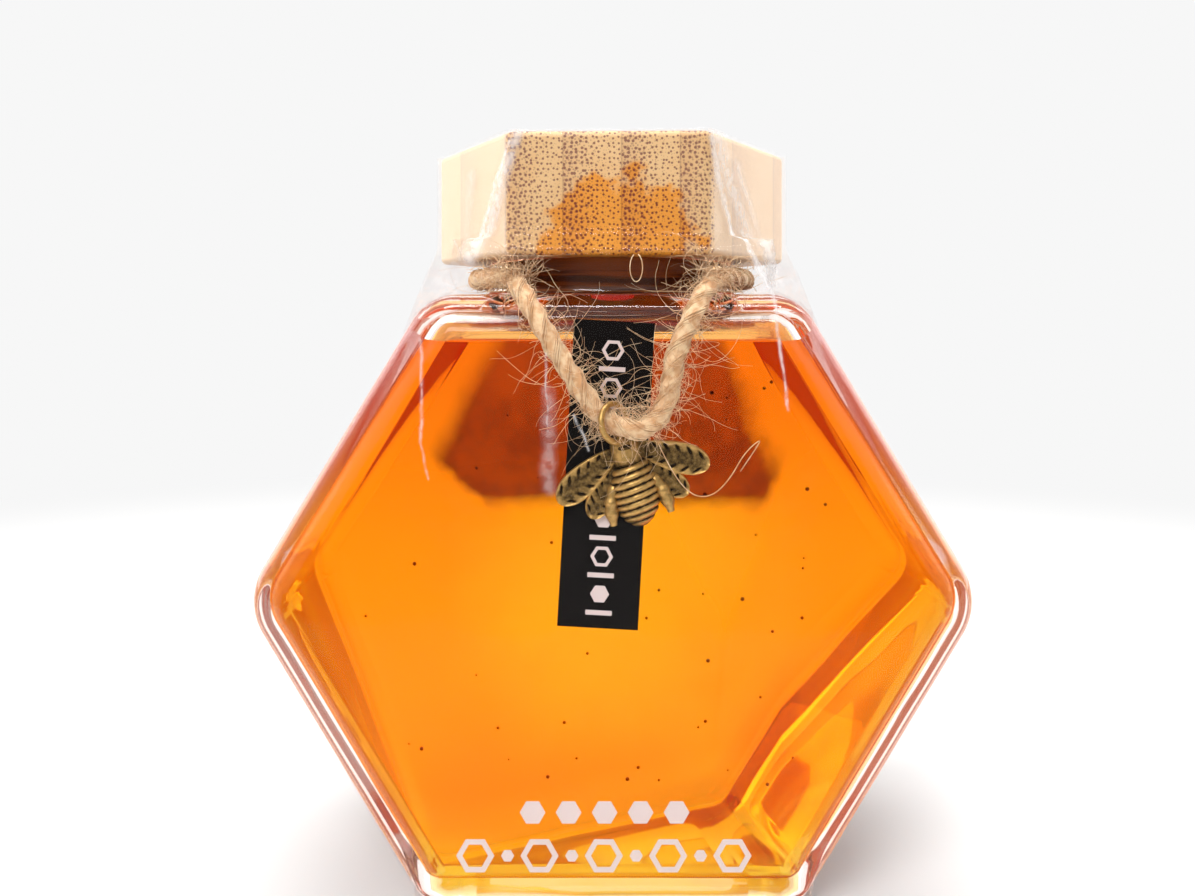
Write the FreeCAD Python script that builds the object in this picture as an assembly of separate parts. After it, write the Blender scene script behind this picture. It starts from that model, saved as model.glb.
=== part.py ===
"""Hexagonal glass jar of honey with a bamboo lid, a jute twine with a bee charm, and a clear film wrap.

Units are millimetres. +Z is up and -Y is the front. The origin is on the surface the jar stands on,
below the axis of its neck. The jar body is a hexagon seen from the front, standing on one of its sides.
"""

import FreeCAD
import Part
import math
import os

V = FreeCAD.Vector
X_AXIS = V(1, 0, 0)
Y_AXIS = V(0, 1, 0)
Z_AXIS = V(0, 0, 1)
ORIGIN = V(0, 0, 0)

# Film wrap
film_wall = 0.2            # thickness of the clear film
film_slack = 0.35          # how far the film stands off what it wraps
tent_stand_off = 0.7       # how much further it stands off the sides below the lid
tent_half_width = 15.0     # half the width that the twine and charm hold away from the glass
tent_margin = 0.65         # between the film and the twine inside it
tent_drop = 28.7           # from the middle of the charm down to where the film meets the glass
tent_side_drop = 26.2      # from the shoulder down to where it no longer stands off the sides

# Glass jar
body_width = 104.0         # across the sharp side corners of the hexagon
body_height = 86.0
body_depth = 50.0
side_corner_radius = 9.0
top_corner_radius = 7.5
base_corner_radius = 6.0
edge_radius = 5.5          # rounding of the front and back faces into the sides
wall = 3.4                 # glass at the front, back, sides and shoulder
base_wall = 4.6
inner_edge_radius = 2.6
punt_depth = 0.9           # shallow recess under the base
punt_margin = 3.0          # flat ring left round the recess
neck_radius = 19.6
neck_wall = 3.0
neck_height = 5.3
neck_root_radius = 0.8
rim_radius = 0.8           # rounding of the rim's edges

# Honey
headspace = 3.2            # air between the honey and the underside of the shoulder

# Bamboo lid and its stopper
lid_side = 27.5            # side of the lid's hexagon
lid_height = 17.1
lid_turn = -1.65           # degrees the lid is turned from square, anticlockwise from above
lid_corner_radius = 1.6
lid_edge_radius = 0.9
stopper_length = 8.6
stopper_clearance = 0.5    # between the stopper's core and the neck's bore
rib_count = 3
rib_height = 1.1
rib_clearance = 0.05       # between a rib and the bore

# Strip label on the front
label_width = 11.0
label_length = 41.8
label_thickness = 0.2
label_tilt = 3.2           # degrees
label_top = 3.8            # below the shoulder
label_shift = -1.0         # of the label's middle, from the jar's middle

# Twine
twine_diameter = 3.0
twine_clearance = 0.15
twine_lift = 1.8           # how far the charm's ring holds the twine off the label
knot_length = 4.6
knot_radius = 1.95
bend_share = 0.45          # of the shorter run that each bend of the twine takes up

# Bee charm
charm_tilt = 14.0          # degrees the charm leans
charm_gap = 0.1            # between the charm's flat back and the label
ring_clearance = 0.7       # between the ring and the twine through it
ring_wire = 0.42           # radius of the ring's wire
ring_turn = 48.0           # degrees the ring is turned from facing front
ring_standoff = 1.05       # from the bee's middle to the near side of the twine in the ring
charm_x = 1.7              # of the middle of the bee's thorax
charm_drop = 21.5          # of its middle, below the shoulder
abdomen_length = 7.8
abdomen_radius = 3.35
abdomen_rings = 7
ridge_height = 0.32
thorax_radius = 2.2
head_radius = 1.2
wing_thickness = 1.0
wing_rim = 0.35            # width of the raised rim round each wing
wing_recess = 0.25         # depth of the wing's face below its rim
leg_radius = 0.85

# Levels worked out from the sizes above
jar_base = film_wall
shoulder_z = jar_base + body_height
lid_base = shoulder_z + neck_height
lid_top = lid_base + lid_height
front_y = -body_depth / 2
side_slope = math.atan2(body_height / 2, body_width / 4)
neck_bore = neck_radius - neck_wall
cavity_top = shoulder_z - wall
honey_level = cavity_top - headspace
label_front = front_y - label_thickness
tent_top = lid_base + lid_height / 2
charm_z = shoulder_z - charm_drop
tent_base = charm_z - tent_drop
tent_depth = label_thickness + twine_clearance + twine_diameter + twine_lift + tent_margin
tent_side_base = shoulder_z - tent_side_drop
twine_radius = twine_diameter / 2
ring_radius = twine_radius + ring_clearance + ring_wire
knot_y = neck_radius + twine_clearance + knot_radius
loop_z = shoulder_z + neck_height / 2


def half_width(z):
    """Half the width of the body's sharp hexagon at a height above the jar's base."""
    middle = body_height / 2
    return body_width / 2 - abs(z - middle) / math.tan(side_slope)


def hexagon_outline(inset, base_inset):
    """Corners of the body's outline in XZ, moved in by one wall at sides and top, another at the base."""
    side_shift = inset / math.sin(side_slope)
    low = base_inset
    high = body_height - inset
    middle = body_height / 2
    corners = [(half_width(low) - side_shift, low), (half_width(middle) - side_shift, middle)]
    corners.append((half_width(high) - side_shift, high))
    return corners + [(-x, z) for x, z in reversed(corners)]


def along_y(edge):
    direction = edge.tangentAt(edge.FirstParameter)
    return abs(abs(direction.y) - 1) < 1e-6


def hexagon_prism(inset, base_inset, depth, radii, edge_fillet):
    """Body of the hexagon outline: corners rounded with (base, side, top) radii, then both faces' edges."""
    corners = [V(x, -depth / 2, z + jar_base) for x, z in hexagon_outline(inset, base_inset)]
    face = Part.Face(Part.makePolygon(corners + corners[:1]))
    prism = face.extrude(V(0, depth, 0))
    base_radius, side_radius, top_radius = radii
    middle_z = jar_base + body_height / 2
    for edge_height, radius in (("base", base_radius), ("side", side_radius), ("top", top_radius)):
        chosen = []
        for edge in prism.Edges:
            z = edge.CenterOfMass.z
            level = "side" if abs(z - middle_z) < 1 else ("base" if z < middle_z else "top")
            long_enough = edge.Length > depth - 1e-3 and along_y(edge)
            if long_enough and is_sharp(prism, edge) and level == edge_height:
                chosen.append(edge)
        prism = prism.makeFillet(radius, chosen)
    rims = [e for e in prism.Edges
            if abs(abs(e.BoundBox.YMin) - depth / 2) < 1e-4 and e.BoundBox.YLength < 1e-4]
    return prism.makeFillet(edge_fillet, rims)


def is_sharp(solid, edge):
    """True where the two flat faces beside an edge meet at an angle."""
    flats = []
    for face in solid.Faces:
        if any(edge.isSame(other) for other in face.Edges):
            flats.append(face)
    if len(flats) != 2 or any(f.Surface.TypeId != "Part::GeomPlane" for f in flats):
        return False
    return flats[0].normalAt(0, 0).getAngle(flats[1].normalAt(0, 0)) > 0.1


def cavity():
    """The space inside the body, up to the underside of the shoulder."""
    radii = (base_corner_radius - wall, side_corner_radius - wall, top_corner_radius - wall)
    return hexagon_prism(wall, base_wall, body_depth - 2 * wall, radii, inner_edge_radius)


def make_glass_jar():
    radii = (base_corner_radius, side_corner_radius, top_corner_radius)
    body = hexagon_prism(0, 0, body_depth, radii, edge_radius)
    neck = Part.makeCylinder(neck_radius, neck_height + wall / 2, V(0, 0, shoulder_z - wall / 2))
    jar = body.fuse(neck).removeSplitter()
    root = [e for e in jar.Edges if is_ring(e, neck_radius, shoulder_z)]
    jar = jar.makeFillet(neck_root_radius, root)
    bore = Part.makeCylinder(neck_bore, neck_height + 2 * wall, V(0, 0, lid_base - neck_height - 2 * wall))
    jar = jar.cut(cavity()).cut(bore)
    rim = [e for e in jar.Edges if is_ring(e, neck_radius, lid_base) or is_ring(e, neck_bore, lid_base)]
    jar = jar.makeFillet(rim_radius, rim)
    flat_half_x = body_width / 4 - base_corner_radius * math.tan(side_slope / 2)
    flat_half_y = body_depth / 2 - edge_radius
    punt_x = 2 * (flat_half_x - punt_margin)
    punt_y = 2 * (flat_half_y - punt_margin)
    punt = Part.makeBox(punt_x, punt_y, punt_depth, V(-punt_x / 2, -punt_y / 2, jar_base))
    uprights = [e for e in punt.Edges if abs(e.tangentAt(e.FirstParameter).z) > 0.9]
    punt = punt.makeFillet(punt_margin, uprights)
    return jar.cut(punt)


def is_ring(edge, radius, z):
    """True for a level circular edge about the neck's axis, at a radius and height."""
    if edge.Degenerated or edge.Curve.TypeId != "Part::GeomCircle":
        return False
    circle = edge.Curve
    level = abs(circle.Center.z - z) < 1e-4 and abs(abs(circle.Axis.z) - 1) < 1e-6
    centred = math.hypot(circle.Center.x, circle.Center.y) < 1e-4
    return level and centred and abs(circle.Radius - radius) < 1e-4


def make_honey():
    fill = Part.makeBox(body_width, body_depth, honey_level, V(-body_width / 2, -body_depth / 2, 0))
    return cavity().common(fill)


def lid_hexagon(side, z):
    """Corners of the lid's hexagon, one pointing to each side, turned as the lid is."""
    turn = math.radians(lid_turn)
    angles = [turn + k * math.pi / 3 for k in range(6)]
    return [V(side * math.cos(a), side * math.sin(a), z) for a in angles]


def make_lid():
    corners = lid_hexagon(lid_side, lid_base)
    lid = Part.Face(Part.makePolygon(corners + corners[:1])).extrude(V(0, 0, lid_height))
    uprights = [e for e in lid.Edges if e.BoundBox.ZLength > lid_height / 2]
    lid = lid.makeFillet(lid_corner_radius, uprights)
    rims = [e for e in lid.Edges if e.BoundBox.ZLength < 1e-4]
    return lid.makeFillet(lid_edge_radius, rims)


def make_stopper():
    """Plug under the lid, with ribs that press on the neck's bore."""
    stopper_base = V(0, 0, lid_base - stopper_length)
    core = Part.makeCylinder(neck_bore - stopper_clearance, stopper_length, stopper_base)
    pitch = stopper_length / (rib_count + 1)
    for k in range(rib_count):
        middle = lid_base - pitch * (k + 1)
        rib = Part.makeCylinder(neck_bore - rib_clearance, rib_height, V(0, 0, middle - rib_height / 2))
        core = core.fuse(rib)
    return core.removeSplitter()


def make_label():
    corner = V(-label_width / 2, label_front, -label_length)
    plate = Part.makeBox(label_width, label_thickness, label_length, corner)
    plate.rotate(V(0, 0, -label_length / 2), Y_AXIS, label_tilt)
    plate.translate(V(label_shift, 0, shoulder_z - label_top))
    return plate


def twine_route():
    """Points of the twine, from one side of the knot, through the charm's ring, to the other side."""
    loop_radius = (neck_radius + twine_radius + twine_clearance) / math.cos(math.radians(15))
    edge_reach = edge_radius + twine_radius + 2 * twine_clearance
    corner = edge_reach * math.tan(math.radians(22.5))
    over_y = front_y + edge_radius - corner
    over_z = shoulder_z + twine_radius + 2 * twine_clearance
    down_y = front_y + edge_radius - edge_reach
    down_z = shoulder_z - edge_radius + corner
    face_y = label_front - twine_radius - twine_clearance

    def on_neck(degrees, spread=1.0):
        a = math.radians(degrees)
        return (spread * loop_radius * math.cos(a), spread * loop_radius * math.sin(a), loop_z)

    def on_face(x, lift, drop):
        return (x, face_y - lift * twine_lift, shoulder_z - drop)

    run_x = loop_radius * math.cos(math.radians(70))
    left = [(-knot_length / 2, knot_y, loop_z), (-run_x, knot_y, loop_z)]
    left += [on_neck(140), on_neck(170), on_neck(200), on_neck(222, 1.04)]
    left += [(-13.3, over_y, over_z), (-10.8, down_y, down_z)]
    left += [on_face(-6.9, 0, 9.2), on_face(-3.4, 0, 14.6)]
    middle = [on_face(-1.2, 0.15, 16.9), on_face(1.5, 0.8, 18.2)]
    middle += [on_face(4.2, 1.0, 18.3), on_face(6.4, 0.7, 16.4)]
    right = [on_face(7.6, 0.2, 13.0), on_face(8.2, 0, 8.2), (10.9, down_y, down_z), (13.6, over_y, over_z)]
    right += [on_neck(-43, 1.04), on_neck(-20), on_neck(10), on_neck(40)]
    right += [(run_x, knot_y, loop_z), (knot_length / 2, knot_y, loop_z)]
    return [V(*p) for p in left + middle + right]


def rounded_path(points):
    """Straight runs joined by tangent arcs, each as large as its two runs allow."""
    edges = []
    start = points[0]
    radii = []
    for before, at, after in zip(points, points[1:], points[2:]):
        incoming = (at - before).normalize()
        outgoing = (after - at).normalize()
        turn = incoming.getAngle(outgoing)
        reach = bend_share * min((at - before).Length, (after - at).Length)
        radius = reach / math.tan(turn / 2)
        arc_start = at - incoming * reach
        arc_end = at + outgoing * reach
        toward = (outgoing - incoming).normalize()
        middle = at + toward * (radius / math.cos(turn / 2) - radius)
        edges.append(Part.LineSegment(start, arc_start).toShape())
        edges.append(Part.Arc(arc_start, middle, arc_end).toShape())
        start = arc_end
        radii.append(round(radius, 1))
    edges.append(Part.LineSegment(start, points[-1]).toShape())
    print("twine bend radii:", radii)
    return Part.Wire(edges)


def make_twine():
    path = rounded_path(twine_route())
    first = path.Edges[0]
    direction = first.tangentAt(first.FirstParameter)
    section = Part.Wire(Part.makeCircle(twine_radius, path.Edges[0].Vertexes[0].Point, direction))
    tube = path.makePipeShell([section], True, False)
    expected = math.pi * twine_radius ** 2 * path.Length
    print("twine length %.1f mm, volume %.1f of %.1f" % (path.Length, tube.Volume, expected))
    return tube


def make_knot():
    return Part.makeCylinder(knot_radius, knot_length, V(-knot_length / 2, knot_y, loop_z), X_AXIS)


def charm_frame(shape):
    """Moves a shape from the charm's own frame into place: x to the right, z up, flat back at y = 0."""
    shape.rotate(ORIGIN, Y_AXIS, -charm_tilt)
    shape.translate(V(charm_x, label_front - charm_gap, charm_z))
    return shape


def make_abdomen():
    """Ringed body of the bee, turned about its own length, with a round tip."""
    pitch = abdomen_length / abdomen_rings

    def radius_at(depth):
        along = depth / abdomen_length
        return abdomen_radius * math.sqrt(1 - (1.6 * along - 0.72) ** 2)

    previous = V(radius_at(0), 0, 0)
    outline = [Part.LineSegment(ORIGIN, previous).toShape()]
    for k in range(abdomen_rings):
        crest_depth = (k + 0.5) * pitch
        crest = V(radius_at(crest_depth) + ridge_height, 0, -crest_depth)
        end = V(radius_at((k + 1) * pitch), 0, -(k + 1) * pitch)
        outline.append(Part.Arc(previous, crest, end).toShape())
        previous = end
    floor = V(0, 0, -abdomen_length)
    outline.append(Part.LineSegment(previous, floor).toShape())
    outline.append(Part.LineSegment(floor, ORIGIN).toShape())
    turned = Part.Face(Part.Wire(outline)).revolve(ORIGIN, Z_AXIS, 360)
    tip = Part.makeSphere(radius_at(abdomen_length) * 0.9, floor)
    return turned.fuse(tip)


def make_wing(length, width, root, droop):
    """Oval plate with a raised rim. It points to +x from its root, and droops by an angle in degrees."""

    def oval(inset, front, back):
        centre = V(length / 2, -front, 0)
        ring = Part.Wire(Part.Ellipse(centre, length / 2 - inset, width / 2 - inset).toShape())
        ring.rotate(centre, X_AXIS, 90)
        return Part.Face(ring).extrude(V(0, front + back, 0))

    plate = oval(0, wing_thickness, wing_thickness)
    plate = plate.cut(oval(wing_rim, wing_thickness + 1, wing_recess - wing_thickness))
    plate.rotate(ORIGIN, Y_AXIS, droop)
    plate.translate(V(*root))
    return plate


def make_leg(points):
    """Chain of round links from the bee's side."""
    leg = None
    for start, end in zip(points, points[1:]):
        a = V(*start)
        b = V(*end)
        link = Part.makeCylinder(leg_radius, (b - a).Length, a, b - a).fuse(Part.makeSphere(leg_radius, b))
        leg = link if leg is None else leg.fuse(link)
    return leg


def mirrored(shape):
    return shape.mirror(ORIGIN, X_AXIS)


def make_bee_charm():
    abdomen = make_abdomen()
    abdomen.translate(V(0, 0, -1.9))
    thorax = Part.makeSphere(thorax_radius)
    head = Part.makeSphere(head_radius, V(0, -head_radius / 2, 1.2))
    pieces = [abdomen, thorax, head]
    leg_y = -0.6 * leg_radius
    limbs = [make_wing(10.7, 3.8, (1.3, 0, 0.6), 28), make_wing(8.2, 3.4, (1.3, 0, -1.4), 46)]
    limbs.append(make_leg([(2.4, leg_y, -4.4), (3.6, leg_y, -6.2), (4.0, leg_y, -9.2)]))
    for limb in limbs:
        pieces += [limb, mirrored(limb)]
    ring = Part.makeTorus(ring_radius, ring_wire)
    ring.rotate(ORIGIN, X_AXIS, 90)
    ring.rotate(ORIGIN, Z_AXIS, ring_turn)
    ring.translate(V(-0.55, -ring_standoff - twine_radius, 4.3))
    pieces.append(ring)
    charm = pieces[0]
    for piece in pieces[1:]:
        charm = charm.fuse(piece)
    reach = 40
    behind = Part.makeBox(2 * reach, reach, 2 * reach, V(-reach, 0, -reach))
    return charm_frame(charm.cut(behind))


def tent_front(z, offset):
    """How far forward the film stands over the twine and the charm at a height."""
    stations = [(tent_base, 0), (charm_z - abdomen_length, 0.62 * tent_depth), (charm_z, tent_depth)]
    stations += [(shoulder_z - edge_radius, 0.74 * tent_depth), (lid_base, 0.42 * tent_depth), (tent_top, 0)]
    for (low, near), (high, far) in zip(stations, stations[1:]):
        if z <= high:
            return body_depth / 2 + offset + near + (far - near) * (z - low) / (high - low)
    return body_depth / 2 + offset


def tent_ring(z, offset):
    """Corners of the film between the body and the lid at one height."""
    if z > lid_base - 1e-6:
        side = lid_side + offset * 2 / math.sqrt(3)
        flat = side * math.sqrt(3) / 2
        right = [(side / 2, -flat), (0.75 * side, -flat / 2), (side, -0.5), (side, 0.5)]
        right += [(0.75 * side, flat / 2), (side / 2, flat)]
        ring = right + [(-x, y) for x, y in reversed(right)]
        turn = math.radians(lid_turn)
        cos, sin = math.cos(turn), math.sin(turn)
        ring = [(x * cos - y * sin, x * sin + y * cos) for x, y in ring]
        front = tent_front(z, offset)
        ring[0] = (ring[0][0], min(ring[0][1], -front))
        ring[-1] = (ring[-1][0], min(ring[-1][1], -front))
    else:
        stand_off = tent_stand_off if z > tent_side_base else -edge_radius
        wide = half_width(z - jar_base) + (offset + stand_off) / math.sin(side_slope)
        deep = body_depth / 2 + offset
        corner = (2 - math.sqrt(2)) * edge_radius
        front = tent_front(z, offset)
        right = [(tent_half_width, -front), (wide - corner, -deep)]
        right += [(wide, corner - deep), (wide, deep - corner)]
        right += [(wide - corner, deep), (tent_half_width, deep)]
        ring = right + [(-x, y) for x, y in reversed(right)]
    return [V(x, y, z) for x, y in ring]


def tent(offset):
    """Faceted body of the film's stretch from the glass up to the lid."""
    levels = [tent_base, charm_z - abdomen_length, charm_z, shoulder_z - edge_radius, shoulder_z]
    levels += [lid_base, tent_top]
    rings = [tent_ring(z, offset) for z in levels]
    faces = []
    for low, high in zip(rings, rings[1:]):
        for k in range(len(low)):
            n = (k + 1) % len(low)
            faces.append(Part.Face(Part.makePolygon([low[k], low[n], high[n], low[k]])))
            faces.append(Part.Face(Part.makePolygon([low[k], high[n], high[k], low[k]])))
    for ring in (rings[0], rings[-1]):
        faces.append(Part.Face(Part.makePolygon(ring + ring[:1])))
    body = Part.makeSolid(Part.makeShell(faces))
    if body.Volume < 0:
        body.reverse()
    return body


def film_body(offset, base_drop):
    """Closed outline of the whole wrapped pack, standing off by an offset and dropped below the glass."""
    radii = (base_corner_radius + offset, side_corner_radius + offset, top_corner_radius + offset)
    around_body = hexagon_prism(-offset, -base_drop, body_depth + 2 * offset, radii, edge_radius + offset)
    corners = lid_hexagon(lid_side + offset * 2 / math.sqrt(3), tent_top - 1)
    face = Part.Face(Part.makePolygon(corners + corners[:1]))
    around_lid = face.extrude(V(0, 0, lid_top + offset - tent_top + 1))
    return around_body.fuse([tent(offset), around_lid]).removeSplitter()


def make_film():
    return film_body(film_slack + film_wall, film_wall).cut(film_body(film_slack, 0))


NODES = {
    "glass_jar": make_glass_jar,
    "honey": make_honey,
    "bamboo_lid": make_lid,
    "stopper": make_stopper,
    "strip_label": make_label,
    "twine": make_twine,
    "twine_knot": make_knot,
    "bee_charm": make_bee_charm,
    "film_wrap": make_film,
}


def main():
    os.makedirs("parts", exist_ok=True)
    for name, make in NODES.items():
        shape = make()
        box = shape.BoundBox
        print("%-12s solids %d valid %s volume %9.2f  x %.1f..%.1f y %.1f..%.1f z %.1f..%.1f" % (
            name, len(shape.Solids), shape.isValid(), shape.Volume,
            box.XMin, box.XMax, box.YMin, box.YMax, box.ZMin, box.ZMax))
        shape.exportStep("parts/%s.step" % name)


main()
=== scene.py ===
import math
import random

import bmesh
import bpy
from mathutils import Matrix, Vector, noise


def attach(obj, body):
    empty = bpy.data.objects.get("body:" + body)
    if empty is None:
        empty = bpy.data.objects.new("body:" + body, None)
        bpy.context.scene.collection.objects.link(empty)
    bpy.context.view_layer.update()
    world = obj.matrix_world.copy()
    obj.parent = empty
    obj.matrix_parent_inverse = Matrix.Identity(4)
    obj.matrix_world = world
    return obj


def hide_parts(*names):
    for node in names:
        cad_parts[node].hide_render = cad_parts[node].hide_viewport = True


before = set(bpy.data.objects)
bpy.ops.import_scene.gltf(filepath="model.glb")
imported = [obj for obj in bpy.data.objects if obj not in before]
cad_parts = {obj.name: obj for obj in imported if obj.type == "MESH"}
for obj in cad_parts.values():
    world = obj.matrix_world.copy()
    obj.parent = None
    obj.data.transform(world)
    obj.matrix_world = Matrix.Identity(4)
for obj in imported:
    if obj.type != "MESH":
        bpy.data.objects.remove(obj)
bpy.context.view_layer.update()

MM = 0.001
for leftover in ("Cube", "Light", "Camera"):
    if leftover in bpy.data.objects:
        bpy.data.objects.remove(bpy.data.objects[leftover])

# ---------------------------------------------------------------- sizes, in millimetres

BASE = 0.2                # the glass stands this far up, on the film
BODY_WIDTH = 104.0
BODY_HEIGHT = 86.0
BODY_DEPTH = 50.0
WALL = 3.4
MID_WALL_BESIDE = 1.9     # from the outline of a sloping side to the middle of its wall, level
CORNER_REACH = 50.5       # half the width over the rounded corners
EDGE_RADIUS = 5.5
SHOULDER = BASE + BODY_HEIGHT
LID_BASE = 91.5
LID_TOP = 108.6
LID_SIDE = 27.5
LID_TURN = math.radians(-1.65)
GLASS_FRONT = -BODY_DEPTH / 2
HONEY_LEVEL = 79.6
INTO_WALL = 0.08          # how far the honey reaches into the glass
LABEL_FRONT = -25.2
TWINE_DIAMETER = 3.0
TWINE_CORE = 2.5          # thickness of the core that the yarns are laid round
LOOP_Z = 88.85            # height of the twine's loop round the neck
LOOP_BACK = 21.7          # how far behind the jar's middle the knot lies
CHARM_MIDDLE = Vector((1.7, LABEL_FRONT - 0.1, 64.7))
CHARM_TILT = math.radians(14.0)
RING_MIDDLE = Vector((-0.55, -2.55, 4.3))
RING_RADIUS = 2.6
RING_WIRE = 0.42
RING_TURN = math.radians(48)
LABEL_LEAN = math.radians(3.2)
LABEL_HALF = 20.5         # half the length of the column of shapes on the label
LABEL_TOP = 4.6           # from the shoulder down to the top of that column
LABEL_LEFT = -1.0
BACK_LIGHT = 1.3          # light from behind the jar, which the honey glows with
SEEN_WHITE = 0.93         # brightness of the surroundings to the eye
RAY_LIMIT = 10            # surfaces after which a light path is ended
FILM_GAP = 0.45           # from the glass and the lid out to the film
FILM_COLUMNS = 220
TAUT_LOW = 64.0           # the film spans straight from here up to the lid
TAUT_HIGH = LID_BASE + 3.0
TENT_HALF_WIDTH = 27.0
PLIES = 3
PLY_OFFSET = 0.82         # from the twine's middle line to that of a ply
PLY_PITCH = 10.0
YARNS = 13                # in a ply
YARN_OFFSET = 0.58        # from a ply's middle line to that of a yarn
YARN_PITCH = 14.0
NOISE_SEED = 1795150850   # noise_vector takes its offset from the clock where no seed is set
FIBRES = 900
TUFT_FIBRES = 110
BUBBLES = 46
KNOT_SPAN = 3.5
KNOT_STEPS = 18           # points to a turn of the knot
KNOT_TURN_RADIUS = 1.35
PRINT_LIFT = 0.01         # how far the shapes on the glass stand off it
STRIP_WIDTH = 8.05        # of one strip of bamboo
LID_FACE = LID_SIDE * 0.866
SIDE_SLOPE = math.atan2(BODY_HEIGHT / 2, BODY_WIDTH / 4)

# Middle line of the twine, from the knot behind the neck round to the front and back again
TWINE_ROUTE = (
    (-2.3, LOOP_BACK, LOOP_Z), (-7.52, LOOP_BACK, LOOP_Z), (-16.85, 14.14, LOOP_Z), (-21.67, 3.82, LOOP_Z),
    (-20.67, -7.52, LOOP_Z), (-17.0, -15.31, LOOP_Z), (-13.3, -22.52, 88.0), (-10.8, -26.8, 83.72),
    (-6.9, -26.85, 77.0), (-3.4, -26.85, 71.6), (-1.2, -27.12, 69.3), (1.5, -28.29, 68.0),
    (4.2, -28.65, 67.9), (6.4, -28.11, 69.8), (7.6, -27.21, 73.2), (8.2, -26.85, 78.0),
    (10.9, -26.8, 83.72), (13.6, -22.52, 88.0), (16.73, -15.6, LOOP_Z), (20.67, -7.52, LOOP_Z),
    (21.67, 3.82, LOOP_Z), (16.85, 14.14, LOOP_Z), (7.52, LOOP_BACK, LOOP_Z), (2.3, LOOP_BACK, LOOP_Z),
)


# ---------------------------------------------------------------- node helpers

def new_material(name):
    """An empty node material, with its tree and its output node."""
    material = bpy.data.materials.new(name)
    material.use_nodes = True
    tree = material.node_tree
    tree.nodes.clear()
    return material, tree, tree.nodes.new("ShaderNodeOutputMaterial")


def put(tree, kind, inputs=None, **settings):
    """Adds a node. Inputs are sockets to link or values to set, by name or number."""
    made = tree.nodes.new("ShaderNode" + kind)
    for name, value in settings.items():
        setattr(made, name, value)
    for name, value in (inputs or {}).items():
        if isinstance(value, bpy.types.NodeSocket):
            tree.links.new(value, made.inputs[name])
        else:
            made.inputs[name].default_value = value
    return made


def calc(tree, operation, a, b=0.0, c=0.0, clamp=False):
    return put(tree, "Math", {0: a, 1: b, 2: c}, operation=operation, use_clamp=clamp).outputs[0]


def ramp(tree, value, low, high, to_low=0.0, to_high=1.0):
    """Smooth step of a value from low to high."""
    inputs = {"Value": value, "From Min": low, "From Max": high, "To Min": to_low, "To Max": to_high}
    return put(tree, "MapRange", inputs, interpolation_type="SMOOTHSTEP").outputs[0]


def squares(tree, a, b):
    """The squares of two values, added."""
    return calc(tree, "ADD", calc(tree, "MULTIPLY", a, a), calc(tree, "MULTIPLY", b, b))


def mix(tree, factor, a, b, blend="MIX"):
    made = put(tree, "Mix", {0: factor, 6: a, 7: b}, data_type="RGBA", blend_type=blend)
    return made.outputs[2]


def place_mm(tree):
    """Position on the object in millimetres, as a vector and as its X, Y and Z."""
    coord = put(tree, "TexCoord").outputs["Object"]
    scaled = put(tree, "VectorMath", {0: coord, 3: 1000.0}, operation="SCALE").outputs[0]
    split = put(tree, "SeparateXYZ", {0: scaled})
    return scaled, split.outputs[0], split.outputs[1], split.outputs[2]


def rgb(red, green, blue):
    """Linear colour from one given as 0 to 255."""
    def linear(c):
        c /= 255.0
        return c / 12.92 if c <= 0.04045 else ((c + 0.055) / 1.055) ** 2.4
    return (linear(red), linear(green), linear(blue), 1.0)


# ---------------------------------------------------------------- object helpers

def add_object(name, data, material, slot=None):
    made = bpy.data.objects.new(name, data)
    bpy.context.scene.collection.objects.link(made)
    data.materials.append(material)
    if slot:
        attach(made, "root")
    return made


def mesh_from(name, points, faces, smooth=True):
    """Mesh of points given in millimetres."""
    mesh = bpy.data.meshes.new(name)
    mesh.from_pydata([Vector(p) * MM for p in points], [], faces)
    if smooth:
        mesh.shade_smooth()
    return mesh


def mesh_of(name, bm, smooth=True):
    """Mesh of a bmesh built in millimetres."""
    bmesh.ops.scale(bm, vec=Vector((MM, MM, MM)), verts=bm.verts)
    mesh = bpy.data.meshes.new(name)
    bm.to_mesh(mesh)
    bm.free()
    if smooth:
        mesh.shade_smooth()
    return mesh


def frames_along(points):
    """Tangent, normal and side at each point of a line, without twist."""
    tangents = []
    for k in range(len(points)):
        before = points[max(k - 1, 0)]
        after = points[min(k + 1, len(points) - 1)]
        tangents.append((after - before).normalized())
    normal = tangents[0].orthogonal().normalized()
    frames = []
    for tangent in tangents:
        normal = (normal - tangent * normal.dot(tangent)).normalized()
        frames.append((tangent, normal, tangent.cross(normal)))
    return frames


class Tubes:
    """Collects round tubes along lines, as one mesh."""

    def __init__(self, sides):
        self.sides = sides
        self.points = []
        self.faces = []

    def add(self, line, radii):
        first = len(self.points)
        for (point, radius), (_, normal, side) in zip(zip(line, radii), frames_along(line)):
            for k in range(self.sides):
                a = 2 * math.pi * k / self.sides
                self.points.append(point + (normal * math.cos(a) + side * math.sin(a)) * radius)
        for row in range(len(line) - 1):
            for k in range(self.sides):
                a = first + row * self.sides + k
                b = first + row * self.sides + (k + 1) % self.sides
                self.faces.append((a, b, b + self.sides, a + self.sides))
        last = first + (len(line) - 1) * self.sides
        self.faces.append(tuple(first + k for k in reversed(range(self.sides))))
        self.faces.append(tuple(last + k for k in range(self.sides)))

    def mesh(self, name):
        return mesh_from(name, self.points, self.faces)


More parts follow.
